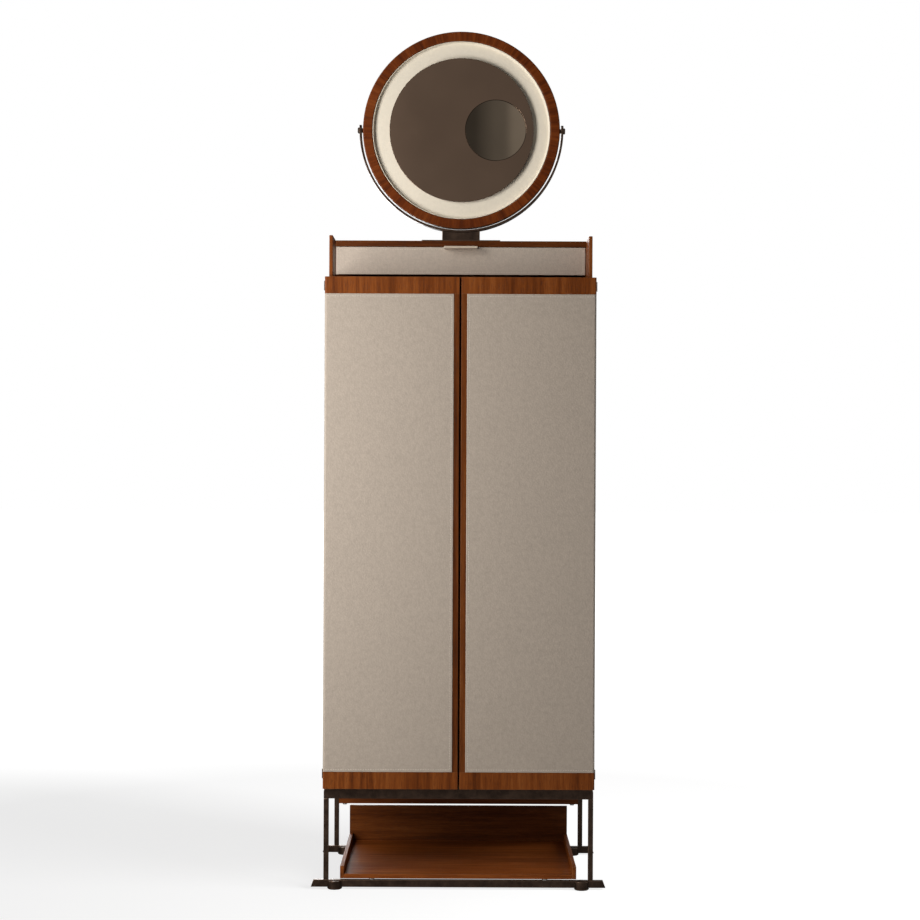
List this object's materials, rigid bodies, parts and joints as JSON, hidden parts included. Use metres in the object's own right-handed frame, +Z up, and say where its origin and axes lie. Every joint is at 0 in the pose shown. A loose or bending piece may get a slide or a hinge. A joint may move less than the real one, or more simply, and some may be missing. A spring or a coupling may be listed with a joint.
{
  "type": "armoire",
  "caption": "Tall narrow leather-clad armoire with two doors on an open metal base with a low tray, a gallery drawer above and a tilting round mirror on top.",
  "frame": {"origin": "centre of the overall box on the floor, under the feet", "axes": "+X to the object's right as seen from the front, front of the doors towards -Y, +Z up"},
  "size_m": [0.654, 0.45, 1.9415],
  "materials": {
    "walnut": "oiled dark walnut veneer and lippings",
    "leather": "pebbled greige leather, satin",
    "bronze": "burnished dark bronze, satin",
    "steel": "plain steel hardware",
    "halo_leather": "smooth cream leather, matt",
    "smoked_mirror": "smoked bronze mirror",
    "magnifying_mirror": "smoked bronze magnifying mirror"
  },
  "bodies": {
    "root": {"front_legs": "bronze", "rear_legs": "bronze", "front_top_rail": "bronze", "rear_top_rail": "bronze", "frame_side_rails": "bronze", "front_floor_bar": "bronze", "rear_floor_bar": "bronze", "floor_feet": "bronze", "rear_apron": "walnut", "frame_bolts": "steel", "tray_floor": "walnut", "tray_sides": "walnut", "tray_back": "walnut", "tray_spacers": "steel", "side_panel_left": "walnut", "side_panel_right": "walnut", "carcass_top": "walnut", "carcass_bottom": "walnut", "back_panel": "walnut", "side_leather_left": "leather", "side_leather_right": "leather", "fixed_shelf": "walnut", "adjustable_shelf": "walnut", "shelf_pins": "steel", "hanging_rod": "bronze", "rod_brackets": "bronze", "magnetic_catches": "steel", "carcass_hinge_leaves": "bronze", "hinge_pins": "bronze", "gallery_wings": "walnut", "top_board": "walnut", "drawer_deck": "walnut", "gallery_back": "walnut", "drawer_runners": "walnut", "mirror_stand": "bronze", "mirror_yoke": "bronze", "pivot_knobs": "bronze"},
    "door_left": {"door_core_left": "walnut", "door_rails_left": "walnut", "door_stile_left": "walnut", "door_leather_left": "leather", "door_hinge_leaves_left": "bronze", "strike_plate_left": "steel"},
    "door_right": {"door_core_right": "walnut", "door_rails_right": "walnut", "door_stile_right": "walnut", "door_leather_right": "leather", "door_hinge_leaves_right": "bronze", "strike_plate_right": "steel"},
    "drawer": {"drawer_front": "walnut", "drawer_leather": "leather", "drawer_sides": "walnut", "drawer_back": "walnut", "drawer_bottom": "walnut", "drawer_pull": "leather"},
    "mirror": {"mirror_ring": "walnut", "mirror_back": "walnut", "halo_ring": "halo_leather", "mirror_glass": "smoked_mirror", "magnifier": "magnifying_mirror"}
  },
  "joints": [
    {"name": "door_left_hinge", "type": "hinge", "parent": "root", "child": "door_left", "pos_m": [-0.3, -0.202, 0.7915], "axis": [0, 0, -1], "range_deg": [0, 170]},
    {"name": "door_right_hinge", "type": "hinge", "parent": "root", "child": "door_right", "pos_m": [0.3, -0.202, 0.7915], "axis": [0, 0, 1], "range_deg": [0, 170]},
    {"name": "drawer_slide", "type": "slide", "parent": "root", "child": "drawer", "axis": [0, -1, 0], "range_m": [0, 0.2]},
    {"name": "mirror_tilt", "type": "hinge", "parent": "root", "child": "mirror", "pos_m": [0, 0, 1.714], "axis": [1, 0, 0], "range_deg": [-40, 40]}
  ]
}
